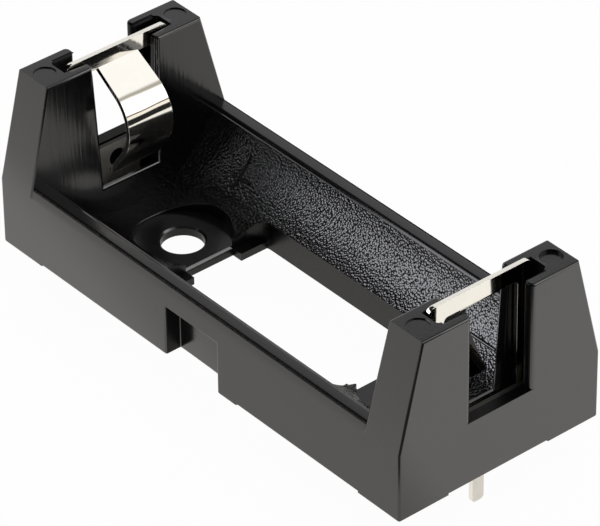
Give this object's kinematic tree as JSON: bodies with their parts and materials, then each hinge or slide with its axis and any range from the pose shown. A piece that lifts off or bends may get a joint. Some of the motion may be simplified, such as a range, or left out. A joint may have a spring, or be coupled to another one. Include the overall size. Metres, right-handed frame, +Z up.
{
  "type": "battery holder",
  "caption": "Open moulded holder for a short cylindrical lithium cell, with bowed spring contacts in its end towers, solder pins and screw holes for a circuit board.",
  "frame": {"origin": "on the upper face of the circuit board, midway between the two screw holes", "axes": "+X along the cell towards its negative end, +Y across the holder, +Z up, away from the board"},
  "size_m": [0.0468, 0.0196, 0.0184],
  "materials": {
    "housing": "moulded black, satin outside, spark-eroded grain in the trough",
    "contact": "bright nickel plate on spring strip"
  },
  "bodies": {
    "root": {"housing": "housing", "positive_contact": "contact", "negative_contact": "contact"}
  },
  "joints": []
}
